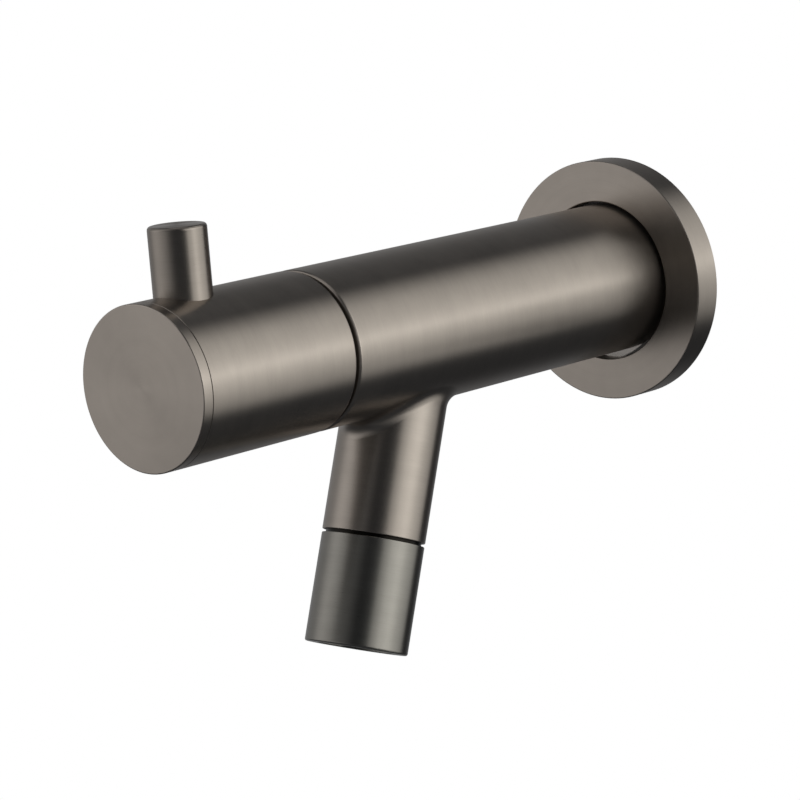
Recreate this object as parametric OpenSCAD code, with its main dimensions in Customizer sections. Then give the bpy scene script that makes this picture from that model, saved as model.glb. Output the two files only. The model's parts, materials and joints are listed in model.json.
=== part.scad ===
// Wall-mounted basin tap for cold water, with a turning front handle. Lengths are in millimetres.
// The wall is the plane y = 0, the tap reaches out of it along -Y, and +Z is up.
// Most pieces are turned round the tap's axis, so they are drawn along z as a distance from the wall,
// and out_of_wall() lays them down. In that drawing +Y is up.

/* [Wall rose] */
// Diameter of the rose
rose_d = 61.3; // [56:0.1:80]
// Depth of the rose, from the wall to its front face
rose_depth = 7.7; // [7:0.1:12]
// Thickness of the rose's face
rose_face_t = 3.2; // [2.4:0.1:3.2]
// Thickness of the rose's rim
rose_rim_t = 2.4; // [2:0.1:3]
// Radial gap between the hole in the rose and the body
rose_gap = 1.3; // [0.8:0.1:1.6]
// How far the rose, which only grips the body, hangs below the tap's axis
rose_drop = 0.5; // [0:0.1:0.5]
// Thickness of the soft ring in the rose that grips the body
rose_ring_t = 2; // [1.6:0.1:2.4]
// Radial width of the foam seal between rose and wall
rose_seal_w = 2.4; // [1.6:0.1:2.4]

/* [Body] */
// Outer diameter of the body and of the handle
body_d = 38; // [37:0.5:44]
// Distance from the wall to the front end of the body
body_end = 120.8; // [100:0.1:180]
// Distance from the wall to the back end of the body
body_start = 1; // [0.5:0.1:1.4]
// Diameter of the bore behind the valve seat
rear_bore_d = 22.2; // [20:0.2:23]
// Thickness of the wall that carries the valve seat
seat_wall = 4; // [3:0.5:8]
// Diameter of the hole in the valve seat
seat_hole_d = 12; // [8:0.5:13]
// Diameter of the chamber round the valve
chamber_d = 27; // [22:0.5:29]
// Diameter of the recess in the front end
front_recess_d = 31; // [30:0.5:32]
// Rounding of the edges that show
edge_r = 0.5; // [0.2:0.1:0.8]
// Rounding of the body's front edge, which faces the handle
body_edge_r = 0.7; // [0.4:0.1:1]
// Rounding of the crisp outer edges of the rose and of the front cap
crisp_r = 0.3; // [0.2:0.1:0.6]

/* [Spout] */
// Diameter of the spout
spout_d = 24.7; // [24:0.1:27]
// Distance from the front end of the body back to where the spout's axis meets the body's
spout_setback = 37.7; // [34:0.1:40]
// Lean of the spout away from the wall, in degrees
spout_tilt = 20.5; // [14:0.5:24]
// Length of the spout along its axis, from the body's axis to its lower edge
spout_len = 50.9; // [40:0.1:80]
// Width of the blend between spout and body, from where their faces would meet to its edge on either
spout_fillet = 5; // [3:0.5:6]
// Diameter of the water channel in the spout
spout_bore_d = 14; // [10:0.5:14.5]

/* [Aerator] */
// Diameter of the aerator's casing
aerator_d = 24.6; // [24:0.1:27]
// Length of the aerator's casing
aerator_len = 26; // [22:0.1:30]
// Width of the groove between spout and casing
aerator_gap = 0.8; // [0.6:0.1:2]
// Rounding of the two edges at that groove
groove_edge_r = 0.2; // [0.2:0.1:0.5]
// Diameter of the neck that shows in that groove
aerator_neck_d = 22.9; // [22.8:0.1:23.2]
// Diameter of the thread between spout and casing
aerator_thread_d = 22; // [21:0.1:22.2]
// Length of thread inside the casing
aerator_thread_len = 8; // [5:0.5:10]
// Thickness of the aerator's rubber washer
aerator_washer_t = 1.6; // [1:0.1:2.5]
// Width of the lip that holds the insert in the casing
aerator_lip = 1.1; // [0.8:0.1:1.6]
// Distance across the flats of a cell in the outlet grid
grid_cell = 1.7; // [1.4:0.1:2.4]
// Thickness of the webs between the cells
grid_web = 0.4; // [0.3:0.1:0.8]

/* [Handle] */
// Width of the groove between body and handle
handle_gap = 1.2; // [1:0.1:3]
// Length of the handle, from that groove to the front cap
handle_len = 46.3; // [44:0.1:70]
// Wall thickness of the handle at its back end
handle_wall = 3; // [2.4:0.1:3.4]
// Depth of the hollow at the back of the handle
handle_hollow = 17; // [12:0.5:18]
// Diameter of the boss inside that hollow
hub_d = 21; // [19.6:0.1:22]
// Thickness of the front cap at its edge
cap_edge = 2.8; // [2:0.1:5]
// Diameter of the front cap's plug
plug_d = 27.8; // [24:0.1:28.6]
// Length of the front cap's plug
plug_len = 5.5; // [5:0.1:6]

/* [Lever] */
// Diameter of the lever
lever_d = 13.4; // [10:0.1:14]
// Height of the lever above the handle
lever_h = 15.4; // [10:0.1:40]
// Distance from the front face back to the lever's axis
lever_setback = 15; // [14.5:0.1:16]
// Rounding of the lever's top edge
lever_round = 0.8; // [0.4:0.1:2]
// Diameter of the threaded stud that holds the lever
stud_d = 5; // [4:0.5:6]

/* [Inlet] */
// Outer diameter of the inlet thread, G 1/2
inlet_thread_d = 20.955; // [20.955, 20.9, 21]
// Length of the inlet thread behind the wall face
inlet_thread_len = 20; // [12:0.5:40]
// Diameter of the water channel in the inlet nipple
inlet_bore_d = 11; // [8:0.5:12]
// Distance across the flats of the key socket in the nipple
inlet_key = 12; // [12:0.5:13]
// Diameter of the nipple's clamping collar
collar_d = 25.8; // [24.6:0.1:27]
// Thickness of the sealing washer between the wall and the collar
inlet_washer_t = 1.5; // [1:0.1:2]
// Diameter of the grub screw that locks the body on the nipple
grub_d = 5; // [4:0.5:5]

/* [Valve] */
// Outer diameter of the valve's thread, G 1/2
valve_thread_d = 20.955; // [20.955, 20.9, 21]
// Length of the valve's thread in the body
valve_thread_len = 9; // [7:0.5:10]
// Outer diameter of the valve's cage
cage_d = 18.4; // [18:0.1:18.6]
// Length of the valve's cage
cage_len = 17; // [16.5:0.1:18]
// Distance across the flats of the valve's hexagon
hex_af = 24; // [22:0.5:25]
// Length of the valve's hexagon
hex_len = 7; // [5:0.5:8]
// Depth of the hexagon inside the front end of the body
hex_recess = 5.7; // [4.6:0.1:6]
// Thickness of one ceramic disc
disc_t = 3.6; // [3:0.1:3.8]
// Diameter of the spindle
spindle_d = 10; // [9.6:0.1:11]
// Outer diameter of the spindle's splines
spline_d = 8; // [7.6:0.1:8.4]
// Length of the splines
spline_len = 11.4; // [8:0.1:12]
// Number of splines
splines = 20; // [12:1:24]

/* [Clearances] */
// Radial clearance between pieces that are screwed or pushed together
fit = 0.05; // [0.03:0.01:0.08]
// Radial clearance between pieces that turn or slide
run = 0.08; // [0.04:0.01:0.1]

/* [Hidden] */
$fn = 96;

// Sides of round shapes that are only small details
small_fn = 48;
// How far a cutting shape runs past what it cuts
past = 1;

body_r = body_d / 2;
rose_r = rose_d / 2;
spout_r = spout_d / 2;
spout_w = body_end - spout_setback;

// Distances from the wall along the handle
handle_back = body_end + handle_gap;
handle_front = handle_back + handle_len;
cap_seam = 0.1;
cap_back = handle_front + cap_seam;
front_face = cap_back + cap_edge;
lever_w = front_face - lever_setback;

// Distances from the wall along the valve, counted back from the front end of the body
hex_front = body_end - hex_recess;
hex_back = hex_front - hex_len;
flange_washer_t = 1.2;
shoulder = hex_back - flange_washer_t;
thread_back = shoulder - valve_thread_len;
cage_back = thread_back - cage_len;
seal_stand = 1;
seat = cage_back - seal_stand;
seat_wall_back = seat - seat_wall;

// Water sealing and moving pieces in the valve's cage
cage_wall = 1;
cage_in_r = cage_d / 2 - cage_wall;
seal_t = 2.5;
fixed_disc_back = seat + seal_t + fit;
moving_disc_back = fixed_disc_back + disc_t + fit;
foot_back = moving_disc_back + disc_t + fit;
thrust_t = 0.8;
cage_roof = thread_back - seal_stand;
thrust_back = cage_roof - thrust_t - fit;
foot_front = thrust_back - fit;
lug_w = 3;
lug_depth = 1.4;
window_w = 10;

// Spindle
spindle_r = spindle_d / 2;
neck_r = 7.8;
neck_front = body_end - seal_stand;
clip_t = 0.8;
clip_back = neck_front + fit;
clip_front = clip_back + clip_t;
clip_land = 1.1;
stem_front = clip_front + fit + clip_land;
spindle_tip = stem_front + spline_len;
spline_depth = 0.4;
screw_d = 4;
screw_hole_depth = 13;
screw_hole_room = 1;

// Sealing rings: thickness, and the depth of the groove that leaves them the fit on both sides
nipple_ring_t = 1.6;
stem_ring_t = 1.1;
stem_ring_place = 4.6;
stem_ring_pitch = 4.2;
plug_ring_t = 1.6;
plug_ring_place = 2.6;
ring_side = 0.2;

// Inlet nipple
nipple_thread_r = inlet_thread_d / 2;
collar_r = collar_d / 2;
collar_back = inlet_washer_t;
collar_front = rose_depth;
spigot_r = rear_bore_d / 2 - fit;
spigot_len = 12.5;
spigot_front = collar_front + spigot_len;
nipple_ring_place = 4;
nipple_ring_pitch = 4.5;
nipple_ring_w = [for (i = [0, 1]) collar_front + nipple_ring_place + i * nipple_ring_pitch];
key_depth = 8;
thread_chamfer = 1;
undercut = 1.2;
grub_w = (collar_back + collar_front) / 2;
groove_depth = 1.2;
groove_half = 1.6;

// Glide ring and handle
front_recess_r = front_recess_d / 2;
hollow_r = body_r - handle_wall;
hub_r = hub_d / 2;
glide_bore_r = 13.5;
glide_groove = 1.6;
glide_tail = 3.5;
glide_nose = 4.2;
insert_r = 8;
insert_back = stem_front + fit;
insert_len = 22;
insert_front = insert_back + insert_len;
insert_key = 2;
insert_key_h = 0.8;
pocket_front = insert_front + fit;
screw_wall = 3.6;
screw_seat = pocket_front + screw_wall;
washer_t = 0.8;
screw_head_r = 3.5;
screw_head_h = 4;
screw_head_round = 0.4;
screw_key = 3;
screw_key_depth = 2.2;
screw_recess_r = 8;
plug_r = plug_d / 2;
plug_back = handle_front - plug_len;
plug_hole_back = plug_back - past;
plug_wall = 2.9;
plug_floor = 1.2;

// Lever, as heights above the tap's axis
lever_r = lever_d / 2;
lever_sink = 3.6;
lever_seat = body_r - lever_sink;
lever_top = body_r + lever_h;
stud_r = stud_d / 2;
stud_in_handle = 4.8;
stud_in_lever = 9;

// Rose
rose_hole_r = body_r + rose_gap;
rose_face_back = rose_depth - rose_face_t;
rose_ring_ledge = 0.9;
rose_seat_r = rose_hole_r + rose_ring_ledge;
rose_collar_t = 1.5;
rose_collar_r = rose_seat_r + rose_collar_t;
rose_seat_depth = 0.6;
rose_seat_front = rose_face_back - rose_seat_depth;
rose_ring_room = 1;
rose_ring_front = rose_seat_front - rose_ring_room;
rose_ring_back = rose_ring_front - rose_ring_t;
rose_collar_back = rose_ring_back - fit;
rose_rim_in_r = rose_r - rose_rim_t;
rose_seal_r = rose_rim_in_r - fit;

// Aerator, as distances along the spout's axis from the body's axis
aerator_r = aerator_d / 2;
spout_neck_r = aerator_neck_d / 2;
thread_r = aerator_thread_d / 2;
casing_top = spout_len + aerator_gap;
casing_end = casing_top + aerator_len;
spout_thread_end = casing_top + aerator_thread_len;
a_washer_top = spout_thread_end + fit;
a_washer_end = a_washer_top + aerator_washer_t;
casing_bore_r = thread_r - 0.7;
sleeve_top = a_washer_end + fit;
lip_depth = 2.3;
lip_top = casing_end - lip_depth;
sleeve_end = lip_top - fit;
sleeve_r = casing_bore_r - fit;
sleeve_wall = 1.2;
sleeve_in_r = sleeve_r - sleeve_wall;
insert_disc_r = sleeve_in_r - fit;
strainer_t = 1;
diffuser_t = 1.5;
grid_t = 3;
shelf_t = 0.8;
shelf_w = 0.7;

function spread(count) = [for (i = [0 : count - 1]) 360 * i / count];

// Points of an arc that rounds the corner b, between its neighbours a and c, to radius r
function corner_arc(a, b, c, r, steps = 4) =
    let (u = (a - b) / norm(a - b), v = (c - b) / norm(c - b))
    let (half = acos(u * v) / 2, reach = r / tan(half))
    let (mid = b + (u + v) / norm(u + v) * r / sin(half))
    let (p = b + u * reach - mid, q = b + v * reach - mid, turn = 180 - 2 * half)
    [for (i = [0 : steps]) mid + (p * sin(turn * (1 - i / steps)) + q * sin(turn * i / steps)) / sin(turn)];

// Outline from corners [radius, distance, rounding], where a rounding of 0 keeps the corner sharp
function outline(corners) = let (n = len(corners)) [
    for (i = [0 : n - 1])
        let (b = corners[i], p = [b[0], b[1]])
        let (before = corners[(i + n - 1) % n], after = corners[(i + 1) % n])
        each b[2] == 0 ? [p] : corner_arc([before[0], before[1]], p, [after[0], after[1]], b[2])
];

module turned(corners) { rotate_extrude() polygon(outline(corners)); }

module out_of_wall() { rotate([90, 0, 0]) children(); }

// Lays a piece that is drawn down z along the spout, from the body's axis
module down_spout() { translate([0, -spout_w, 0]) rotate([180 - spout_tilt, 0, 0]) children(); }

// The same for a piece inside the drawing that out_of_wall() lays down
module down_spout_in_drawing() { translate([0, 0, spout_w]) rotate([90 - spout_tilt, 0, 0]) children(); }

// A straight round piece or hole from one distance to another
module rod(r, from, to, r2 = undef) {
    translate([0, 0, from]) cylinder(r1 = r, r2 = is_undef(r2) ? r : r2, h = to - from);
}

module ring(r_in, r_out, from, to) {
    difference() {
        rod(r_out, from, to);
        rod(r_in, from - past, to + past);
    }
}

// A sealing ring of thickness t round the axis, its middle at radius r and distance w
module o_ring(r, t, w) {
    translate([0, 0, w]) rotate_extrude() translate([r, 0]) circle(d = t, $fn = small_fn);
}

module hexagon(af, from, to) {
    translate([0, 0, from]) cylinder(d = af / cos(30), h = to - from, $fn = 6);
}

// Radial hole or rod that stands up from the tap's axis at distance w
module upright(w) { translate([0, 0, w]) rotate([-90, 0, 0]) children(); }

module hanging(w) { translate([0, 0, w]) rotate([90, 0, 0]) children(); }

// Cross-section with teeth, for the spindle and the hole that it drives
module spline_section(grow) {
    tip = spline_d / 2 + grow;
    root = tip - spline_depth;
    quarter = 90 / splines;
    polygon([
        for (a = spread(splines)) each [
            root * [cos(a - quarter), sin(a - quarter)],
            tip * [cos(a - quarter / 2), sin(a - quarter / 2)],
            tip * [cos(a + quarter / 2), sin(a + quarter / 2)],
            root * [cos(a + quarter), sin(a + quarter)],
        ]
    ]);
}

// Blend between body and spout, as a ball rolls round their joint. It keeps its width, so the ball is
// smaller in front, where the spout leans toward the body, and larger behind.
fillet_sections = 60;
fillet_steps = 8;
fillet_sink = 0.04;
fillet_core = 1;
spout_dir = [0, -cos(spout_tilt), sin(spout_tilt)];
spout_side = [1, 0, 0];
spout_front = [0, sin(spout_tilt), cos(spout_tilt)];

// Point on a cylinder of radius out round the spout's axis where it is at radius from the body's axis
function on_joint(angle, out, from_axis) =
    let (x = out * cos(angle), y = -sqrt(pow(from_axis, 2) - x * x))
    let (along = (out * sin(angle) * sin(spout_tilt) - y) / cos(spout_tilt))
    [0, 0, spout_w] + out * (cos(angle) * spout_side + sin(angle) * spout_front) + along * spout_dir;

function toward_body(p, radius) = [p[0], p[1], 0] * radius / norm([p[0], p[1]]) + [0, 0, p[2]];

function toward_spout(p, radius) =
    let (rel = p - [0, 0, spout_w], along = rel * spout_dir, out = rel - along * spout_dir)
    [0, 0, spout_w] + along * spout_dir + out * radius / norm(out);

function fillet_radius(angle) = spout_fillet * tan(45 - spout_tilt * sin(angle) / 2);

function fillet_section(angle) =
    let (ball_r = fillet_radius(angle), mid = on_joint(angle, spout_r + ball_r, body_r + ball_r))
    let (a = toward_spout(mid, spout_r) - mid, b = toward_body(mid, body_r) - mid)
    let (bend = acos(a * b / (norm(a) * norm(b))), grow = 1 + fillet_sink / ball_r)
    concat(
        [for (i = [0 : fillet_steps])
            let (t = i / fillet_steps)
            mid + grow * (a * sin(bend * (1 - t)) + b * sin(bend * t)) / sin(bend)],
        [
            toward_body(mid, body_r - fillet_core),
            on_joint(angle, spout_r - fillet_core, body_r - fillet_core),
            toward_spout(mid, spout_r - fillet_core),
        ]
    );

module spout_blend() {
    sections = [for (angle = spread(fillet_sections)) fillet_section(angle)];
    n = len(sections[0]);
    count = fillet_sections;
    polyhedron(
        points = [for (s = sections) each s],
        faces = [
            for (i = [0 : count - 1], j = [0 : n - 1])
                let (a = i * n, b = ((i + 1) % count) * n, k = (j + 1) % n)
                each [[a + j, b + k, a + k], [a + j, b + j, b + k]]
        ]
    );
}

module body_outside() {
    turned([[0, body_start, 0], [body_r, body_start, 0.3], [body_r, body_end, body_edge_r], [0, body_end, 0]]);
    spout_blend();
    down_spout_in_drawing() turned([
        [0, 0, 0], [spout_r, 0, 0], [spout_r, spout_len, groove_edge_r], [spout_neck_r, spout_len, 0],
        [spout_neck_r, casing_top - fit, 0], [thread_r, casing_top - fit, 0],
        [thread_r, spout_thread_end - 0.6, 0], [thread_r - 0.6, spout_thread_end, 0],
        [0, spout_thread_end, 0],
    ]);
}

module body_waterways() {
    rod(collar_r + fit, body_start - past, collar_front + fit);
    rod(rear_bore_d / 2, collar_front, seat_wall_back);
    rod(seat_hole_d / 2, seat_wall_back - past, seat + past);
    rod(chamber_d / 2, seat, thread_back);
    rod(valve_thread_d / 2 + fit, thread_back - past, shoulder + past);
    rod(front_recess_r, shoulder, body_end + past);
    down_spout_in_drawing() rod(spout_bore_d / 2, chamber_d / 2 - 3, spout_thread_end + past);
    hanging(grub_w) rod(grub_d / 2 + fit, collar_r - past, body_r + past);
}

module body() {
    color("#6b6560") out_of_wall() difference() {
        body_outside();
        body_waterways();
    }
}

// Rose and what goes with it
module hung() { translate([0, -rose_drop, 0]) children(); }

module wall_rose() {
    color("#6b6560") out_of_wall() hung() turned([
        [rose_rim_in_r, 0, 0], [rose_r, 0, 0], [rose_r, rose_depth, crisp_r],
        [rose_hole_r, rose_depth, 0.3], [rose_hole_r, rose_seat_front, 0],
        [rose_seat_r, rose_seat_front, 0], [rose_seat_r, rose_collar_back, 0],
        [rose_collar_r, rose_collar_back, 0], [rose_collar_r, rose_face_back, 0],
        [rose_rim_in_r, rose_face_back, 0],
    ]);
}

module rose_grip_ring() {
    color("#8f8c88") out_of_wall() difference() {
        hung() rod(rose_seat_r - fit, rose_ring_back, rose_ring_front);
        rod(body_r + run, rose_ring_back - past, rose_ring_front + past);
    }
}

module rose_wall_seal() {
    color("#2b2b2b") out_of_wall() hung()
        ring(rose_seal_r - rose_seal_w, rose_seal_r, 0, rose_face_back - fit);
}

// Inlet
module inlet_nipple() {
    ring_floor = spigot_r - nipple_ring_t + fit;
    half = nipple_ring_t / 2 + ring_side;
    color("#b5914e") out_of_wall() difference() {
        turned([
            [0, -inlet_thread_len, 0],
            [nipple_thread_r - thread_chamfer, -inlet_thread_len, 0],
            [nipple_thread_r, thread_chamfer - inlet_thread_len, 0], [nipple_thread_r, 0, 0],
            [nipple_thread_r - undercut, 0, 0], [nipple_thread_r - undercut, collar_back, 0],
            [collar_r, collar_back, 0.3], [collar_r, grub_w - groove_half, 0],
            [collar_r - groove_depth, grub_w - 0.3, 0], [collar_r - groove_depth, grub_w + 0.3, 0],
            [collar_r, grub_w + groove_half, 0], [collar_r, collar_front - fit, 0],
            [spigot_r, collar_front - fit, 0], [spigot_r, spigot_front, 0.4], [0, spigot_front, 0],
        ]);
        for (w = nipple_ring_w) ring(ring_floor - fit, spigot_r + past, w - half, w + half);
        rod(inlet_bore_d / 2, -inlet_thread_len - past, spigot_front + past);
        hexagon(inlet_key, spigot_front - key_depth, spigot_front + past);
    }
}

module inlet_washer() {
    color("#7a3b2e") out_of_wall() ring(nipple_thread_r + fit, collar_r, 0, collar_back);
}

module nipple_o_rings() {
    middle = spigot_r + fit / 2 - nipple_ring_t / 2;
    color("#1c1c1c") out_of_wall() for (w = nipple_ring_w) o_ring(middle, nipple_ring_t, w);
}

module grub_screw() {
    tip = collar_r - groove_depth + 0.3;
    cone_top = tip + grub_d / 2 - 0.4;
    head = body_r - 1.4;
    color("#8d8d90") out_of_wall() hanging(grub_w) difference() {
        union() {
            rod(0.4, tip, cone_top, grub_d / 2);
            rod(grub_d / 2, cone_top, head);
        }
        hexagon(grub_d / 2, head - 2.4, head + past, $fn = 6);
    }
}

// Valve
module valve_housing() {
    color("#b5914e") out_of_wall() difference() {
        union() {
            rod(cage_d / 2, cage_back, thread_back);
            rod(valve_thread_d / 2, thread_back, hex_back);
            hexagon(hex_af, hex_back, hex_front);
            rod(neck_r, hex_front, neck_front);
        }
        rod(cage_in_r, cage_back - past, cage_roof);
        rod(spindle_r + run, cage_roof - past, neck_front + past);
        translate([-window_w / 2, -cage_d, foot_back])
            cube([window_w, 2 * cage_d, cage_roof - foot_back - 1]);
    }
}

module valve_seat_seal() {
    color("#1c1c1c") out_of_wall() ring(seat_hole_d / 2 - 0.5, cage_in_r - fit, seat, seat + seal_t);
}

module valve_flange_washer() {
    color("#7a3b2e") out_of_wall()
        ring(valve_thread_d / 2 + fit, hex_af / 2 + 0.6, shoulder, shoulder + flange_washer_t);
}

// A ceramic disc with two openings, which line up with the other disc's when the valve is open
module ported_disc(r, from, turn) {
    port_r = r - 1.6;
    difference() {
        rod(r, from, from + disc_t);
        translate([0, 0, from - past]) linear_extrude(disc_t + 2 * past) intersection() {
            circle(r = port_r);
            for (side = [0, 180]) rotate(turn + side) polygon([
                [1.6, 0], [1.6 + port_r, -port_r], [1.6 + port_r, port_r],
            ]);
        }
    }
}

module fixed_disc() {
    color("#e8e4da") out_of_wall() ported_disc(cage_in_r - fit, fixed_disc_back, 90);
}

module moving_disc() {
    lug_top = moving_disc_back + disc_t;
    color("#e8e4da") out_of_wall() difference() {
        ported_disc(cage_in_r - run, moving_disc_back, 0);
        for (side = [0, 180]) rotate(side) translate([-lug_w / 2 - fit, 3.6, lug_top - lug_depth - fit])
            cube([lug_w + 2 * fit, cage_d, disc_t]);
    }
}

module spindle() {
    floor_r = spindle_r - stem_ring_t + run - fit;
    half = stem_ring_t / 2 + ring_side;
    color("#b5914e") out_of_wall() difference() {
        union() {
            intersection() {
                rod(cage_in_r - 0.3, foot_back, foot_front);
                translate([-lug_w, -cage_d / 2, foot_back]) cube([2 * lug_w, cage_d, foot_front - foot_back]);
            }
            for (side = [0, 180]) rotate(side) translate([-lug_w / 2, 3.7, foot_back - lug_depth])
                cube([lug_w, cage_in_r - 4.4, lug_depth + past]);
            rod(spindle_r, foot_front - past, stem_front);
            translate([0, 0, stem_front - past]) linear_extrude(spline_len + past) spline_section(0);
        }
        for (w = stem_ring_w) ring(floor_r, spindle_r + past, w - half, w + half);
        ring(spindle_r - 1.2, spindle_r + past, clip_back - fit, clip_front + fit);
        rod(screw_d / 2 + fit, spindle_tip - screw_hole_depth, spindle_tip + past, $fn = small_fn);
    }
}

stem_ring_w = [for (i = [0, 1]) cage_roof + stem_ring_place + i * stem_ring_pitch];

module spindle_o_rings() {
    color("#1c1c1c") out_of_wall() for (w = stem_ring_w)
        o_ring(spindle_r + run - fit / 2 - stem_ring_t / 2, stem_ring_t, w);
}

module spindle_thrust_washer() {
    color("#f0f0ec") out_of_wall() ring(spindle_r + fit, cage_in_r - 0.6, thrust_back, thrust_back + thrust_t);
}

module spindle_clip() {
    color("#8d8d90") out_of_wall() difference() {
        ring(spindle_r - 1.2 + fit, spindle_r + 1.5, clip_back, clip_front);
        translate([-2, 0, clip_back - past]) cube([4, 2 * spindle_r, clip_t + 2 * past]);
    }
}

// Handle
module glide_ring() {
    color("#202020") out_of_wall() turned([
        [glide_bore_r, body_end - glide_tail, 0], [front_recess_r - fit, body_end - glide_tail, 0.3],
        [front_recess_r - fit, body_end + fit, 0], [body_r - glide_groove, body_end + fit, 0],
        [body_r - glide_groove, handle_back - fit, 0], [hollow_r - run, handle_back - fit, 0],
        [hollow_r - run, handle_back + glide_nose, 0.3], [glide_bore_r, handle_back + glide_nose, 0],
    ]);
}

module insert_keys(grow, from, to) {
    for (side = [0, 180]) rotate(side)
        translate([-insert_key / 2 - grow, 0, from])
            cube([insert_key + 2 * grow, insert_r + insert_key_h + grow, to - from]);
}

module handle_shell() {
    hollow_end = handle_back + handle_hollow;
    hub_back = insert_back + 0.6;
    color("#6b6560") out_of_wall() difference() {
        turned([
            [0, handle_back, 0], [body_r, handle_back, edge_r], [body_r, handle_front, 0.15],
            [0, handle_front, 0],
        ]);
        ring(hub_r, hollow_r, handle_back - past, hollow_end);
        rod(hub_r + past, body_end, hub_back);
        rod(insert_r + fit, handle_back - past, pocket_front);
        insert_keys(fit, handle_back - past, pocket_front);
        rod(screw_d / 2 + 0.2, pocket_front - past, screw_seat + past, $fn = small_fn);
        rod(screw_recess_r, screw_seat, handle_front + past);
        rod(plug_r + fit, plug_hole_back, handle_front + past);
        upright(lever_w) rod(lever_r + fit, lever_seat, body_r + past);
        upright(lever_w) rod(stud_r + fit, lever_seat - stud_in_handle, body_r, $fn = small_fn);
    }
}

module spline_insert() {
    color("#e9e9e4") out_of_wall() difference() {
        union() {
            rod(insert_r, insert_back, insert_front);
            insert_keys(0, insert_back + 1, insert_front);
        }
        translate([0, 0, insert_back - past]) linear_extrude(spline_len + past + 0.5) spline_section(fit);
        rod(screw_d / 2 + 0.2, insert_back, insert_front + past, $fn = small_fn);
    }
}

module handle_screw() {
    head_back = screw_seat + washer_t + 2 * fit;
    shank_end = spindle_tip - screw_hole_depth + screw_hole_room;
    color("#8d8d90") out_of_wall() difference() {
        union() {
            rod(screw_d / 2, shank_end, head_back, $fn = small_fn);
            turned([
                [0, head_back, 0], [screw_head_r, head_back, 0],
                [screw_head_r, head_back + screw_head_h, screw_head_round], [0, head_back + screw_head_h, 0],
            ]);
        }
        hexagon(screw_key, head_back + screw_head_h - screw_key_depth, head_back + screw_head_h + past);
    }
}

module handle_screw_washer() {
    color("#8d8d90") out_of_wall()
        ring(screw_d / 2 + 0.2, screw_head_r + 1.5, screw_seat + fit, screw_seat + fit + washer_t);
}

plug_ring_w = plug_back + plug_ring_place;

module front_cap() {
    floor_r = plug_r - plug_ring_t + fit;
    half = plug_ring_t / 2 + ring_side;
    color("#7d756e") out_of_wall() difference() {
        turned([
            [0, plug_back, 0], [plug_r, plug_back, 0.4], [plug_r, cap_back, 0], [body_r, cap_back, 0.15],
            [body_r, front_face, crisp_r], [0, front_face, 0],
        ]);
        ring(floor_r - fit, plug_r + past, plug_ring_w - half, plug_ring_w + half);
        rod(plug_r - plug_wall, plug_back - past, cap_back - plug_floor);
    }
}

module front_cap_o_ring() {
    color("#1c1c1c") out_of_wall() o_ring(plug_r + fit / 2 - plug_ring_t / 2, plug_ring_t, plug_ring_w);
}

module lever_pin() {
    color("#6b6560") out_of_wall() upright(lever_w) difference() {
        turned([
            [0, lever_seat + fit, 0], [lever_r, lever_seat + fit, 0.3], [lever_r, lever_top, lever_round],
            [0, lever_top, 0],
        ]);
        rod(stud_r + fit, lever_seat - past, lever_seat + stud_in_lever + 0.5, $fn = small_fn);
    }
}

module lever_stud() {
    color("#8d8d90") out_of_wall() upright(lever_w)
        rod(stud_r, lever_seat - stud_in_handle + 0.2, lever_seat + stud_in_lever, $fn = small_fn);
}

// Aerator
module aerator_casing() {
    color("#6b6560") down_spout() turned([
        [thread_r + fit, casing_top, 0.3], [aerator_r, casing_top, groove_edge_r],
        [aerator_r, casing_end, edge_r],
        [casing_bore_r - aerator_lip, casing_end, 0.3], [casing_bore_r - aerator_lip, lip_top, 0],
        [casing_bore_r, lip_top, 0], [casing_bore_r, a_washer_end + fit, 0],
        [thread_r + fit, a_washer_end + fit, 0],
    ]);
}

module aerator_washer() {
    color("#1c1c1c") down_spout() ring(spout_bore_d / 2 + 0.5, thread_r, a_washer_top, a_washer_end);
}

module aerator_sleeve() {
    color("#d9d9d4") down_spout() difference() {
        rod(sleeve_r, sleeve_top, sleeve_end);
        rod(sleeve_in_r, sleeve_top - past, sleeve_end - shelf_t);
        rod(sleeve_in_r - shelf_w, sleeve_top, sleeve_end + past);
    }
}

// A disc with rings of round holes, [radius of the ring, number of holes]
module drilled_disc(from, thick, hole_d, rings) {
    translate([0, 0, from]) linear_extrude(thick) difference() {
        circle(r = insert_disc_r);
        for (r = rings, a = spread(r[1])) rotate(a) translate([r[0], 0]) circle(d = hole_d, $fn = 24);
    }
}

module aerator_strainer() {
    color("#b8b8b4") down_spout() drilled_disc(sleeve_top, strainer_t, 1, [[1.6, 6], [3.4, 12], [5.2, 18], [7, 24]]);
}

module aerator_diffuser() {
    color("#d9d9d4") down_spout()
        drilled_disc((sleeve_top + sleeve_end) / 2, diffuser_t, 1.2, [[4.4, 10], [6.8, 16]]);
}

module aerator_grid() {
    pitch = grid_cell + grid_web;
    reach = ceil(insert_disc_r / pitch) + 1;
    last = insert_disc_r - grid_cell / 2 - grid_web;
    color("#9a9a96") down_spout() translate([0, 0, sleeve_end - shelf_t - grid_t]) linear_extrude(grid_t - fit)
        difference() {
            circle(r = insert_disc_r);
            for (i = [-reach : reach], j = [-reach : reach]) {
                centre = pitch * [i + j / 2, j * sin(60)];
                if (norm(centre) < last) translate(centre) rotate(30) circle(d = grid_cell / cos(30), $fn = 6);
            }
        }
}

body();
wall_rose();
rose_grip_ring();
rose_wall_seal();
inlet_nipple();
inlet_washer();
nipple_o_rings();
grub_screw();
valve_housing();
valve_seat_seal();
valve_flange_washer();
fixed_disc();
moving_disc();
spindle();
spindle_o_rings();
spindle_thrust_washer();
spindle_clip();
glide_ring();
handle_shell();
spline_insert();
handle_screw();
handle_screw_washer();
front_cap();
front_cap_o_ring();
lever_pin();
lever_stud();
aerator_casing();
aerator_washer();
aerator_sleeve();
aerator_strainer();
aerator_diffuser();
aerator_grid();
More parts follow.
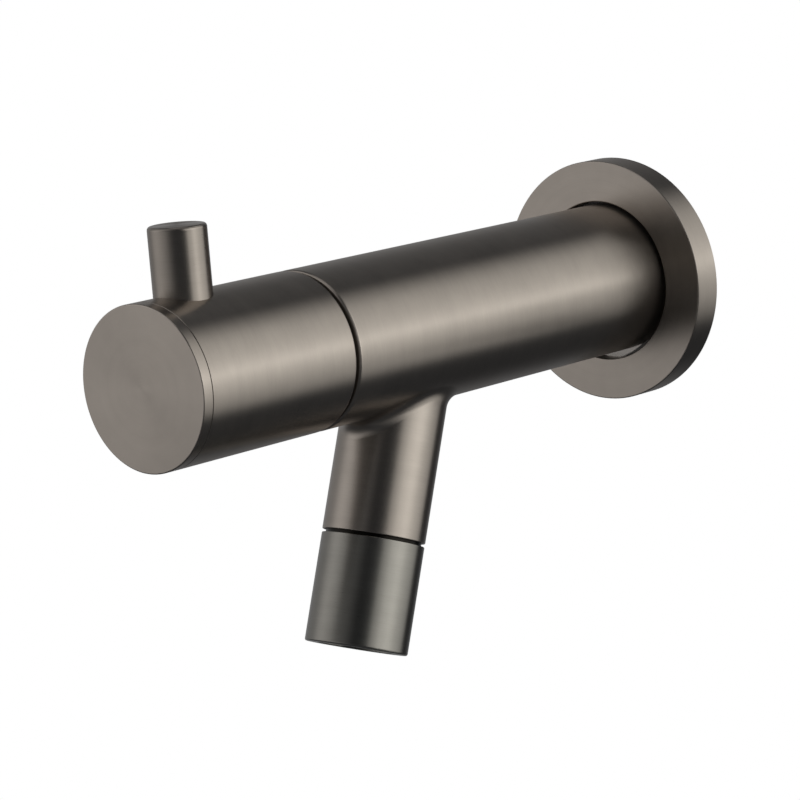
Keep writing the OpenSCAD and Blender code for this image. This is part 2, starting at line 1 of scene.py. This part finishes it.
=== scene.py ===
"""Looks of the wall-mounted basin tap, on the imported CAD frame.

Metres in Blender, millimetres where a name or comment says so. The wall is y = 0, -Y is towards the user, +Z is up.
"""
import json
import math

import bmesh
import bpy
from mathutils import Matrix, Vector


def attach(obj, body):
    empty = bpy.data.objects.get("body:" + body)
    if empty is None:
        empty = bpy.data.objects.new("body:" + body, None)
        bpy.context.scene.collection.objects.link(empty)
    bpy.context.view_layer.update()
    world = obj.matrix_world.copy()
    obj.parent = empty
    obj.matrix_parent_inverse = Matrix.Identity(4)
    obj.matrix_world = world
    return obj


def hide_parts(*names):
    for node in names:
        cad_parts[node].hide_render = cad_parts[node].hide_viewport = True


MM = 0.001

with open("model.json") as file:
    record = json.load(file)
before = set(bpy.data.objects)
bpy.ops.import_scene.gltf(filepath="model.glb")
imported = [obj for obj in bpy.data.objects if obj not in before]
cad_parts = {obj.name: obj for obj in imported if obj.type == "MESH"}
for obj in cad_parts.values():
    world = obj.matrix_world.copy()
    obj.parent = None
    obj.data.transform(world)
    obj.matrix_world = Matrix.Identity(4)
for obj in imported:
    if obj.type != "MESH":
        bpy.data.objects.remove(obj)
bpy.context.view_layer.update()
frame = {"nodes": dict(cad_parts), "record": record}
nodes = frame["nodes"]
scene = bpy.context.scene

# Main sizes of the CAD model, in millimetres; a name with _W is a distance from the wall
BODY_R = 19.0
SPOUT_R = 12.35
SPOUT_W = 83.1
SPOUT_TILT = math.radians(20.5)
SPOUT_LEN = 50.9
AERATOR_GAP = 0.8
BLEND_WIDTH = 5.0
LEVER_W = 156.2

ORIGIN = Vector((0, 0, 0))
TAP_AXIS = Vector((0, -1, 0))
SPOUT_TOP = Vector((0, -SPOUT_W, 0)) * MM
SPOUT_DIR = Vector((0, -math.sin(SPOUT_TILT), -math.cos(SPOUT_TILT)))
LEVER_FOOT = Vector((0, -LEVER_W, 0)) * MM
UP = Vector((0, 0, 1))


# ---------------------------------------------------------------- node helpers
class Graph:
    """A material's or world's nodes, built by short calls. A value is a number, a tuple or an output socket."""

    def __init__(self, tree):
        self.tree = tree
        tree.nodes.clear()

    def node(self, kind, inputs=(), **settings):
        n = self.tree.nodes.new(kind)
        for key, value in settings.items():
            setattr(n, key, value)
        for key, value in dict(inputs).items():
            self.put(n.inputs[key], value)
        return n

    def put(self, socket, value):
        if isinstance(value, bpy.types.NodeSocket):
            self.tree.links.new(value, socket)
        else:
            socket.default_value = value

    def math(self, operation, *values):
        n = self.node("ShaderNodeMath", operation=operation)
        for socket, value in zip(n.inputs, values):
            self.put(socket, value)
        return n.outputs[0]

    def total(self, first, *others):
        for value in others:
            first = self.math("ADD", first, value)
        return first

    def product(self, first, *others):
        for value in others:
            first = self.math("MULTIPLY", first, value)
        return first

    def vector(self, operation, *values):
        n = self.node("ShaderNodeVectorMath", operation=operation)
        for socket, value in zip(n.inputs, values):
            self.put(socket, value)
        return n.outputs["Value" if operation in ("DOT_PRODUCT", "LENGTH") else "Vector"]

    def scaled(self, vector, scale):
        n = self.node("ShaderNodeVectorMath", operation="SCALE")
        self.put(n.inputs[0], vector)
        self.put(n.inputs["Scale"], scale)
        return n.outputs[0]

    def noise(self, vector, scale, detail, roughness):
        n = self.node("ShaderNodeTexNoise",
                      {"Vector": vector, "Scale": scale, "Detail": detail, "Roughness": roughness})
        return n.outputs[0]

    def ramp(self, value, low, high, to_low, to_high, smooth=False):
        n = self.node("ShaderNodeMapRange",
                      {"Value": value, "From Min": low, "From Max": high, "To Min": to_low, "To Max": to_high},
                      interpolation_type="SMOOTHSTEP" if smooth else "LINEAR")
        return n.outputs[0]

    def swing(self, noise, depth, middle=0.0):
        """A noise's usual span, 0.3 to 0.7, spread over a depth either side of a middle value."""
        return self.ramp(noise, 0.3, 0.7, middle - depth, middle + depth)

    def stops(self, value, pairs):
        """A value read off a curve given as [(position, value)], both 0 to 1."""
        n = self.node("ShaderNodeValToRGB", {"Fac": value})
        elements = n.color_ramp.elements
        while len(elements) < len(pairs):
            elements.new(0.5)
        for e, (place, v) in zip(elements, pairs):
            e.position = place
            e.color = (v, v, v, 1)
        return n.outputs[0]

    def mix(self, factor, a, b):
        n = self.node("ShaderNodeMix", data_type="RGBA")
        self.put(n.inputs["Factor"], factor)
        self.put(n.inputs[6], a)
        self.put(n.inputs[7], b)
        return n.outputs[2]

    def surface(self, shader, output="ShaderNodeOutputMaterial"):
        self.tree.links.new(shader.outputs[0], self.node(output).inputs["Surface"])


def new_material(name):
    m = bpy.data.materials.new(name)
    m.use_nodes = True
    return m, Graph(m.node_tree)


def principled(g, normal, tangent=None, **inputs):
    named = {key.replace("_", " "): value for key, value in inputs.items()}
    shader = g.node("ShaderNodeBsdfPrincipled", named)
    g.put(shader.inputs["Normal"], normal)
    if tangent is not None:
        g.put(shader.inputs["Tangent"], tangent)
    g.surface(shader)


def position(g):
    """The place on the piece, in the row frame at rest, in millimetres."""
    return g.scaled(g.node("ShaderNodeTexCoord").outputs["Object"], 1000.0)


def about_axis(g, place, origin, axis):
    """(distance along an axis, part of the place that is square to it), both in millimetres."""
    rel = g.vector("SUBTRACT", place, tuple(origin / MM))
    along = g.vector("DOT_PRODUCT", rel, tuple(axis))
    return along, g.vector("SUBTRACT", rel, g.scaled(tuple(axis), along))


def round_marks(g, along, out, axis, slant):
    """Noise coordinates for marks that run round an axis. The slant is how much they change on the way round."""
    return g.vector("ADD", g.scaled(out, slant), g.scaled(tuple(axis), along))


def to_world(g, vector):
    n = g.node("ShaderNodeVectorTransform", {"Vector": vector}, vector_type="VECTOR",
               convert_from="OBJECT", convert_to="WORLD")
    return n.outputs[0]


def outward(g, out, length):
    """The direction away from an axis, in the world, from the part of the place that is square to it."""
    least = 0.01
    return to_world(g, g.scaled(out, g.math("DIVIDE", 1.0, g.math("MAXIMUM", length, least))))


def bump(g, height, size_mm, normal=None):
    n = g.node("ShaderNodeBump", {"Height": height, "Distance": size_mm * MM})
    if normal is not None:
        g.put(n.inputs["Normal"], normal)
    return n.outputs[0]


def turned_normal(g, normal, radial):
    """The mesh's normal, set exactly radial where it is within 3 to 4 degrees of it, so that a turned surface shows
    neither its facets nor the seam where the mesh closes."""
    cos_4, cos_3 = 0.9975, 0.9988
    near = g.ramp(g.vector("DOT_PRODUCT", normal, radial), cos_4, cos_3, 0.0, 1.0, smooth=True)
    return g.vector("NORMALIZE", g.mix(near, normal, radial))


# ---------------------------------------------------------------- materials
GUNMETAL = (0.395, 0.35, 0.308)
GUNMETAL_ROUGH = 0.31
GUNMETAL_STRETCH = 0.74     # how far the brush marks draw a highlight out across them
GUNMETAL_BUMP_MM = 0.0016
BRUSH_SLANT = 0.05
TOOL_SLANT = 0.06

# Noises of the brushed metal: scale per mm, detail and roughness
FINE = (5.5, 3.0, 0.6)
COARSE = (1.3, 2.0, 0.5)
BANDS = (0.42, 2.0, 0.5)
MOTTLE = (0.22, 2.0, 0.5)
CLOUD = (0.07, 3.0, 0.55)


def painted_groove_shade(g, place):
    """1, but nearly dark in the groove above the aerator: painted shade, where little light reaches the metal."""
    edge, inner_r, outer_r, colour_left_in_painted_shade = 0.08, 11.9, 12.1, 0.05
    along, out = about_axis(g, place, SPOUT_TOP, SPOUT_DIR)
    groove_end = SPOUT_LEN + AERATOR_GAP
    inside = g.product(g.ramp(along, SPOUT_LEN - edge, SPOUT_LEN, 0.0, 1.0),
                       g.ramp(along, groove_end, groove_end + edge, 1.0, 0.0),
                       g.ramp(g.vector("LENGTH", out), inner_r, outer_r, 1.0, 0.0))
    return g.ramp(inside, 0.0, 1.0, 1.0, colour_left_in_painted_shade)


def gunmetal(name, origin, axis, second=None, tint=GUNMETAL, tone=1.0, lines=1.0):
    """Brushed gunmetal coating. The brush marks run round the axis; second is another (origin, axis) that takes over
    away from the first, as on the spout. Lines is how strong the marks are."""
    m, g = new_material(name)
    place = position(g)
    along, out = about_axis(g, place, origin, axis)
    radius = g.vector("LENGTH", out)
    normal = g.node("ShaderNodeNewGeometry").outputs["Normal"]
    turn = to_world(g, tuple(axis))
    radial = outward(g, out, radius)
    smooth = turned_normal(g, normal, radial)

    # On a face square to the axis the marks are rings, elsewhere they are lines round the piece
    facing = g.math("ABSOLUTE", g.vector("DOT_PRODUCT", normal, turn))
    on_face = g.ramp(facing, 0.6, 0.8, 0.0, 1.0, smooth=True)
    spread = g.mix(on_face, turn, radial)
    rings = g.vector("ADD", g.scaled(tuple(axis), g.math("MULTIPLY", along, BRUSH_SLANT)),
                     g.node("ShaderNodeCombineXYZ", {"X": radius}).outputs[0])
    marks = g.mix(on_face, round_marks(g, along, out, axis, BRUSH_SLANT), rings)

    if second is not None:
        along2, out2 = about_axis(g, place, *second)
        over = g.ramp(radius, BODY_R + 0.3, BODY_R + 3.4, 0.0, 1.0, smooth=True)
        spread = g.mix(over, spread, to_world(g, tuple(second[1])))
        marks = g.mix(over, marks, round_marks(g, along2, out2, second[1], BRUSH_SLANT))
        radial2 = outward(g, out2, g.vector("LENGTH", out2))
        smooth = g.mix(over, smooth, turned_normal(g, normal, radial2))

    fine = g.noise(marks, *FINE)
    coarse = g.noise(marks, *COARSE)
    bands = g.noise(marks, *BANDS)
    mottle = g.noise(place, *MOTTLE)
    cloud = g.noise(place, *CLOUD)
    shade = g.total(g.swing(cloud, 0.035), g.swing(fine, 0.045 * lines), g.swing(coarse, 0.008 * lines),
                    g.swing(bands, 0.022 * lines), g.swing(mottle, 0.022), 1.0)
    # The colour is darkened by painted shade in the groove above the aerator.
    shade = g.product(shade, tone, painted_groove_shade(g, place))
    rough = g.total(g.ramp(fine, 0.25, 0.75, GUNMETAL_ROUGH - 0.03, GUNMETAL_ROUGH + 0.03), g.swing(cloud, 0.015))
    height = g.total(fine, g.math("MULTIPLY", coarse, 0.8))
    principled(g, bump(g, height, GUNMETAL_BUMP_MM * lines, smooth), spread, Base_Color=g.scaled(tint, shade),
               Metallic=1.0, Roughness=rough, Anisotropic=GUNMETAL_STRETCH)
    return m


def dielectric(name, color, rough, grain_mm=0.4, height_mm=0.01, vary=0.12):
    """Rubber, plastic, ceramic or fibre: a mottled colour, uneven gloss and a fine grain."""
    m, g = new_material(name)
    place = position(g)
    grain = g.noise(place, 1.0 / grain_mm, 3.0, 0.6)
    cloud = g.noise(place, 0.25, 2.0, 0.5)
    shade = g.total(g.swing(cloud, vary, 1.0), g.swing(grain, vary / 2))
    principled(g, bump(g, grain, height_mm), Base_Color=g.scaled(color, shade), Roughness=g.swing(grain, 0.06, rough))
    return m


def machined(name, color, rough, origin, axis):
    """Bright turned metal, with tool marks round the axis."""
    m, g = new_material(name)
    place = position(g)
    along, out = about_axis(g, place, origin, axis)
    tool = g.noise(round_marks(g, along, out, axis, TOOL_SLANT), 3.0, 3.0, 0.6)
    cloud = g.noise(place, 0.3, 3.0, 0.6)
    shade = g.total(g.swing(cloud, 0.08, 0.98), g.swing(tool, 0.05))
    principled(g, bump(g, tool, 0.004), Base_Color=g.scaled(color, shade), Metallic=1.0,
               Roughness=g.swing(tool, 0.07, rough))
    return m


# ---------------------------------------------------------------- pieces drawn finer than in the CAD model
SHARP_ANGLE = math.radians(35)


def add_piece(name, rows, closed=True, normals=None, material=None, body="tap_body"):
    """A mesh from rows of points in millimetres, each row a ring round the piece. Closed joins the last row to the
    first. Without normals, edges sharper than SHARP_ANGLE stay crisp."""
    count = len(rows[0])
    faces = []
    for i in range(len(rows) if closed else len(rows) - 1):
        a, b = i * count, (i + 1) % len(rows) * count
        for j in range(count):
            k = (j + 1) % count
            faces.append((a + j, a + k, b + k, b + j))
    mesh = bpy.data.meshes.new(name)
    mesh.from_pydata([Vector(p) * MM for row in rows for p in row], [], faces)
    mesh.update()
    for polygon in mesh.polygons:
        polygon.use_smooth = True
    if normals is None:
        mesh.set_sharp_from_angle(angle=SHARP_ANGLE)
    else:
        mesh.normals_split_custom_set_from_vertices([n for row in normals for n in row])
    o = bpy.data.objects.new(name, mesh)
    scene.collection.objects.link(o)
    mesh.materials.append(material)
    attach(o, body)
    return o


def blend_rows():
    """Rows of points and normals over the blend between spout and body, from the body down to the spout. A ball
    rolls round their joint, smaller in front than behind; past its edges the skin slips under the two faces."""
    around, steps, sag = 240, 14, 0.008
    skirt = ((0.5, 0.03), (1.2, 0.09))     # (distance past the edge, depth under the face)
    side, front = Vector((1, 0, 0)), Vector((0, -math.cos(SPOUT_TILT), math.sin(SPOUT_TILT)))
    top, down = SPOUT_TOP / MM, SPOUT_DIR
    columns = []
    for i in range(around):
        a = 2 * math.pi * i / around
        ball = BLEND_WIDTH * math.tan(math.pi / 4 - SPOUT_TILT * math.sin(a) / 2)
        out = side * math.cos(a) + front * math.sin(a)
        off = out * (SPOUT_R + ball)
        height = -math.sqrt((BODY_R + ball) ** 2 - off.x ** 2)
        mid = top + off + down * ((height - off.z) / down.z)
        to_spout = -out
        to_body = -Vector((mid.x, 0, mid.z)).normalized()
        bend = to_spout.angle(to_body)
        column = []
        for step, sink in reversed(skirt):
            column.append((mid + to_spout * (ball + sink) + down * step, out))
        for j in range(steps + 1):
            t = j / steps
            u = (to_spout * math.sin(bend * (1 - t)) + to_body * math.sin(bend * t)) / math.sin(bend)
            column.append((mid + u * (ball - sag * math.sin(math.pi * t)), -u))
        away = (to_body * math.cos(bend) - to_spout).normalized()
        for step, sink in skirt:
            p = mid + to_body * ball + away * step
            n = Vector((p.x, 0, p.z)).normalized()
            column.append((Vector((0, p.y, 0)) + n * (BODY_R - sink), n))
        columns.append(column)
    rows = [[c[j] for c in columns] for j in reversed(range(len(columns[0])))]
    return [[p for p, n in row] for row in rows], [[n for p, n in row] for row in rows]


def turned_row(radius, w, count=96):
    """A ring of points round the tap's axis at distance w from the wall; radius is a number or a function of angle."""
    row = []
    for i in range(count):
        a = 2 * math.pi * i / count
        r = radius(a) if callable(radius) else radius
        row.append((r * math.cos(a), -w, r * math.sin(a)))
    return row


def nipple_rows():
    """The inlet nipple with its G 1/2 thread cut as a helix, which the CAD model leaves as a cylinder."""
    thread_r, depth, pitch, end = 10.4775, 1.162, 1.814, 20.0
    relief_r, thread_w, thread_steps = 9.2775, -0.9, 132
    bore, collar, neck, spigot, ring_r, key = 5.5, 12.9, 11.7, 11.05, 9.45, 6.0
    spigot_w, key_w = 20.2, 12.2

    def thread(w):
        limit = min(thread_r, thread_r - 1 + (w + end))

        def radius(a):
            phase = abs(2 * ((w / pitch + a / (2 * math.pi)) % 1) - 1)
            t = min(max((phase - 0.14) / 0.72, 0), 1)
            cut = 0.6 * t + 0.4 * t * t * (3 - 2 * t)
            return min(thread_r - depth * (1 - cut), limit)
        return radius

    def hexagon(a):
        return key / math.cos((a + math.pi / 6) % (math.pi / 3) - math.pi / 6)

    rows = [turned_row(bore, -end + 0.3), turned_row(bore + 0.3, -end)]
    for i in range(thread_steps + 1):
        w = -end + (end + thread_w) * i / thread_steps
        rows.append(turned_row(thread(w), w))
    profile = [(relief_r, -0.6), (relief_r, 1.5), (collar - 0.3, 1.5), (collar, 1.8), (collar, 3.0), (neck, 4.3),
               (neck, 4.9), (collar, 6.2), (collar, 7.65), (spigot, 7.65), (spigot, 10.7), (ring_r, 10.7),
               (ring_r, 12.7), (spigot, 12.7), (spigot, 15.2), (ring_r, 15.2), (ring_r, 17.2), (spigot, 17.2),
               (spigot, 19.8), (spigot - 0.12, 20.08), (spigot - 0.4, spigot_w)]
    rows += [turned_row(r, w) for r, w in profile]
    rows += [turned_row(hexagon, spigot_w), turned_row(hexagon, key_w), turned_row(bore, key_w)]
    return rows


def lip_rows():
    """The inner edge of the rose's grip ring, which touches the body. The CAD model leaves a clearance there."""
    outer, inner, front, back = BODY_R + 0.4, BODY_R - 0.03, 2.86, 2.0
    return [turned_row(r, w) for r, w in ((outer, back), (inner, back), (inner, front), (outer, front))]


MATERIALS = {
    "gunmetal_brushed": gunmetal("body_gunmetal", ORIGIN, TAP_AXIS, (SPOUT_TOP, SPOUT_DIR)),
    "gunmetal_handle": gunmetal("handle_gunmetal", ORIGIN, TAP_AXIS),
    "gunmetal_rose": gunmetal("rose_gunmetal", ORIGIN, TAP_AXIS),
    "gunmetal_turned": gunmetal("cap_gunmetal", ORIGIN, TAP_AXIS, lines=0.6),
    "gunmetal_aerator": gunmetal("aerator_gunmetal", SPOUT_TOP, SPOUT_DIR, tint=(0.372, 0.353, 0.318), tone=0.81),
    "gunmetal_pin": gunmetal("pin_gunmetal", LEVER_FOOT, UP, tone=0.86),
    "brass": machined("brass_turned", (0.72, 0.5, 0.2), 0.3, ORIGIN, TAP_AXIS),
    "stainless": machined("steel_turned", (0.6, 0.59, 0.58), 0.32, ORIGIN, TAP_AXIS),
    "ceramic": dielectric("ceramic_lapped", (0.8, 0.78, 0.73), 0.16, 0.2, 0.001, 0.03),
    "black_rubber": dielectric("rubber_black", (0.018, 0.018, 0.019), 0.62, 0.3, 0.01),
    "grey_silicone": dielectric("silicone_grey", (0.31, 0.29, 0.27), 0.5, 0.3, 0.006, 0.08),
    "black_foam": dielectric("foam_black", (0.03, 0.03, 0.032), 0.9, 0.35, 0.12, 0.3),
    "fibre": dielectric("fibre_red", (0.34, 0.08, 0.045), 0.75, 0.25, 0.03, 0.2),
    "black_plastic": dielectric("plastic_black", (0.012, 0.012, 0.012), 0.38, 0.3, 0.004),
    "white_plastic": dielectric("plastic_white", (0.74, 0.74, 0.71), 0.35, 0.5, 0.004, 0.04),
    "grey_plastic": dielectric("plastic_grey", (0.05, 0.05, 0.052), 0.35, 0.4, 0.004),
}
SPECIAL = {"handle_shell": "gunmetal_handle", "aerator_casing": "gunmetal_aerator"}
for part in frame["record"]["subparts"]:
    name = part["node"]
    key = SPECIAL.get(name, part["material_slot"])
    nodes[name].material_slots[0].material = MATERIALS[key]

points, normals = blend_rows()
blend = add_piece("spout_blend", points, closed=False, normals=normals, material=MATERIALS["gunmetal_brushed"])
nipple = add_piece("threaded_inlet_nipple", nipple_rows(), material=MATERIALS["brass"])
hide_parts("inlet_nipple")
lip = add_piece("grip_ring_lip", lip_rows(), material=MATERIALS["grey_silicone"])


# ---------------------------------------------------------------- studio
# The studio is a sky of soft boxes that only the tap sees. Azimuth az runs from +X towards +Y, elevation el from
# level upwards, both in degrees. Brightness 1 is white.
def direction_angles(g):
    """(azimuth, elevation) of the direction a ray of the world comes from."""
    d = g.vector("NORMALIZE", g.node("ShaderNodeTexCoord").outputs["Generated"])
    xyz = g.node("ShaderNodeSeparateXYZ", {"Vector": d})
    azimuth = g.math("DEGREES", g.math("ARCTAN2", xyz.outputs["Y"], xyz.outputs["X"]))
    elevation = g.math("DEGREES", g.math("ARCSINE", xyz.outputs["Z"]))
    return azimuth, elevation


def curve(g, angle, points, top=1.0):
    """A brightness, at most top, that follows points [(angle in degrees, brightness)]."""
    pairs = [((a + 180) / 360, v / top) for a, v in points]
    return g.math("MULTIPLY", g.stops(g.math("DIVIDE", g.math("ADD", angle, 180.0), 360.0), pairs), top)


def right_box(g, az, el):
    """The large soft box to the right. Its two upright edges lean, and its lower front corner is dim."""
    az_curve = [(-10, 0), (-7, 0.9), (-4, 1.32), (1, 1.36), (8, 1.45), (16, 1.95), (21, 2.15), (27, 2.0),
                (34, 1.7), (41, 1.5), (53, 1.3), (60, 1.15), (66, 0.92), (70, 0.2), (73, 0)]
    el_curve = [(-37, 0), (-33, 0.12), (-28, 0.33), (-24, 0.4), (-18, 0.48), (-10.5, 0.6), (-2.8, 0.76),
                (1.5, 0.9), (4.5, 1.04), (7.5, 0.9), (12.6, 0.78), (20, 0.66), (26.6, 0.6), (33, 0.57),
                (40, 0.52), (46, 0.36), (50, 0.05), (54, 0)]
    far_shift, lift = [(-33, 6), (-22, 0), (-14, -3), (-9, 0), (43, -13)], 17.0
    near_edge = g.product(g.ramp(el, -3.0, 12.0, 0.0, 12.0, smooth=True), g.ramp(az, -8.0, 25.0, 1.0, 0.0))
    far_edge = g.math("SUBTRACT", curve(g, el, [(a, v + lift) for a, v in far_shift], 30.0), lift)
    far_edge = g.product(far_edge, g.ramp(az, 45.0, 65.0, 0.0, 1.0))
    shifted = g.math("ADD", az, g.math("ADD", near_edge, far_edge))
    corner = g.product(g.ramp(az, 8.0, 32.0, 1.0, 0.0, smooth=True),
                       g.ramp(el, -20.0, -14.0, 1.0, 0.0, smooth=True), 0.85)
    return g.product(curve(g, shifted, az_curve, 2.2), curve(g, el, el_curve, 1.1),
                     g.math("SUBTRACT", 1.0, corner))


def left_box(g, az, el):
    """The weaker soft box to the left. It leans, more so where it is high."""
    az_curve = [(-179, 0.27), (-165, 0.34), (-150, 0.64), (-130, 0.73), (-112, 0.64), (-100, 0.55), (-88, 0.44),
                (-78, 0.2), (-70, 0.06), (-62, 0), (165, 0), (179, 0.27)]
    el_curve = [(-30, 0), (-22, 0.08), (-17, 0.42), (-12, 0.78), (-8, 0.95), (-3, 1.07), (5, 1.05), (14, 0.97),
                (30, 0.92), (45, 0.6), (60, 0)]
    lean = g.math("SUBTRACT", g.math("ADD", el, 8.0), g.ramp(el, 28.0, 45.0, 0.0, 50.0))
    where = g.product(g.ramp(az, -150.0, -120.0, 0.0, 1.0), g.ramp(az, 0.0, 90.0, 1.0, 0.0))
    turned = g.math("ADD", az, g.math("MULTIPLY", lean, where))
    return g.product(curve(g, turned, az_curve), curve(g, el, el_curve, 1.1))


def back_box(g, az, el):
    """A weak soft box behind the wall's plane, to the left."""
    az_curve = [(-179, 0), (85, 0), (100, 0.04), (118, 0.16), (140, 0.23), (160, 0.24), (172, 0.12), (179, 0)]
    el_curve = [(-60, 0), (-40, 0.5), (-25, 0.9), (0, 1.15), (12, 1.2), (20, 1.0), (30, 0.6), (40, 0.15), (50, 0)]
    return g.product(curve(g, az, az_curve), curve(g, el, el_curve, 1.2))


def front_box(g, az, el):
    """A faint soft box in front of the tap."""
    az_curve = [(-100, 0), (-85, 0.08), (-75, 0.09), (-66, 0.05), (-55, 0)]
    return g.product(curve(g, az, az_curve), curve(g, el, [(-20, 0), (5, 0.5), (22, 1), (40, 0)]))


def high_box(g, az, el):
    """A weak soft box high up in front, to the left."""
    az_curve = [(-150, 0), (-125, 0.24), (-86, 0.24), (-68, 0)]
    return g.product(curve(g, az, az_curve), curve(g, el, [(26, 0), (34, 1), (55, 1), (65, 0)]))


def room(g, az, el):
    """How bright the dark room between the soft boxes is: dimmer below, high to the front right and behind."""
    height = g.ramp(el, -30.0, 10.0, 0.88, 1.0, smooth=True)
    front_right = curve(g, az, [(-66, 0), (-56, 1), (-38, 1), (-28, 0)])
    behind = curve(g, az, [(70, 0), (82, 1), (98, 1), (110, 0)])
    return g.product(height,
                     g.math("SUBTRACT", 1.0, g.product(front_right, g.ramp(el, -5.0, 15.0, -0.3, 0.5))),
                     g.math("SUBTRACT", 1.0, g.product(behind, g.ramp(el, 0.0, 15.0, 0.4, 0.0))))


def studio_world():
    """The soft boxes as the metal sees them, with one overhead, and the dark room between them."""
    white, warm_white, room_grey = (1.0, 1.0, 1.0), (0.997, 1.006, 0.986), (0.056, 0.06, 0.066)
    world = bpy.data.worlds.new("studio")
    scene.world = world
    world.use_nodes = True
    g = Graph(world.node_tree)
    az, el = direction_angles(g)
    overhead = g.ramp(el, 62.0, 78.0, 0.0, 0.45, smooth=True)
    weak = g.total(left_box(g, az, el), back_box(g, az, el), overhead, front_box(g, az, el), high_box(g, az, el))
    color = g.vector("ADD", g.scaled(white, weak), g.scaled(warm_white, right_box(g, az, el)))
    color = g.vector("ADD", color, g.scaled(room_grey, room(g, az, el)))
    g.surface(g.node("ShaderNodeBackground", {"Color": color, "Strength": 1.0}), "ShaderNodeOutputWorld")


def toward(az, el):
    """The unit vector at an azimuth and elevation in degrees."""
    az, el = math.radians(az), math.radians(el)
    return Vector((math.cos(el) * math.cos(az), math.cos(el) * math.sin(az), math.sin(el)))


def plate(size):
    bm = bmesh.new()
    bmesh.ops.create_grid(bm, x_segments=1, y_segments=1, size=size)
    return bm


def sphere(radius):
    bm = bmesh.new()
    bmesh.ops.create_icosphere(bm, subdivisions=4, radius=radius)
    return bm


def stage_object(name, bm, hidden_from):
    """(object, its material's graph) of a piece of the stage. The rays named in hidden_from don't see it."""
    mesh = bpy.data.meshes.new(name)
    bm.to_mesh(mesh)
    bm.free()
    m, g = new_material(name)
    mesh.materials.append(m)
    o = bpy.data.objects.new(name, mesh)
    scene.collection.objects.link(o)
    for ray in hidden_from:
        setattr(o, "visible_" + ray, False)
    return o, g


def white_stage(name, bm, height=0.0):
    """A plain pale floor or backdrop. It is lit evenly and leaves the metal's reflections to the studio."""
    o, g = stage_object(name, bm, ("diffuse", "glossy", "transmission", "volume_scatter", "shadow"))
    o.location = (0, 0, height)
    g.surface(g.node("ShaderNodeEmission", {"Color": (1, 1, 1, 1), "Strength": 1.0}))


def rose_card():
    """A sheer grey card that holds back part of the studio's light near the rose. Its density is the product of a
    curve across it and one from bottom to top. Only gloss shows it."""
    place_mm, width_mm, height_mm = (55.4, 9.6, -19.5), 110.0, 48.5
    across = [(0, 0), (0.4, 1), (0.5, 1), (0.57, 0.2), (0.62, 0)]
    upward = [(0, 0.06), (0.08, 0.36), (0.145, 0.5), (0.26, 0.5), (0.37, 0.38), (0.6, 0.2), (0.717, 0.24),
              (0.845, 0.16), (1, 0)]
    o, g = stage_object("rose_flag", plate(0.5), ("camera", "diffuse", "transmission", "volume_scatter", "shadow"))
    o.location = Vector(place_mm) * MM
    o.rotation_euler = toward(50.0, -14.0).to_track_quat("Z", "Y").to_euler()
    o.scale = (width_mm * MM, height_mm * MM, 1)
    spot = g.node("ShaderNodeSeparateXYZ", {"Vector": g.node("ShaderNodeTexCoord").outputs["Generated"]})
    density = g.product(g.stops(spot.outputs["X"], across), g.stops(spot.outputs["Y"], upward))
    g.surface(g.node("ShaderNodeBsdfTransparent", {"Color": g.math("SUBTRACT", 1.0, density)}))


def fill_light():
    """A narrow light from the right that picks out the foot of the soft ring in the rose. Gloss doesn't show it."""
    aim_mm, distance = (0.8, -2.9, -19.8), 0.6
    light = bpy.data.lights.new("fill", "SPOT")
    light.energy = 19.0
    light.spot_size = math.radians(1.9)
    light.spot_blend = 0.5
    light.shadow_soft_size = 0.012
    o = bpy.data.objects.new("fill", light)
    o.location = Vector(aim_mm) * MM + toward(-44, 8) * distance
    o.rotation_euler = toward(-44, 8).to_track_quat("Z", "Y").to_euler()
    o.visible_glossy = False
    scene.collection.objects.link(o)


def photo_camera():
    """The photograph's view, from a fit of the camera to the outlines."""
    place = (0.516567, -0.657896, 0.110676)
    right = Vector((0.747558, 0.659324, -0.080302)).normalized()
    forward = Vector((-0.662357, 0.731027, -0.163961)).normalized()
    up = right.cross(forward)
    camera = bpy.data.cameras.new("camera")
    camera.lens = 147.2435
    camera.sensor_width = 36.0
    camera.clip_start = 0.01
    camera.clip_end = 100.0
    o = bpy.data.objects.new("camera", camera)
    rows = [(right[i], up[i], -forward[i], place[i]) for i in range(3)]
    o.matrix_world = Matrix((*rows, (0, 0, 0, 1)))
    scene.collection.objects.link(o)
    scene.camera = o


studio_world()
white_stage("floor", plate(3.9), -0.9)
white_stage("backdrop", sphere(6.0))
rose_card()
fill_light()
photo_camera()
scene.view_settings.view_transform = "Standard"
scene.view_settings.look = "None"
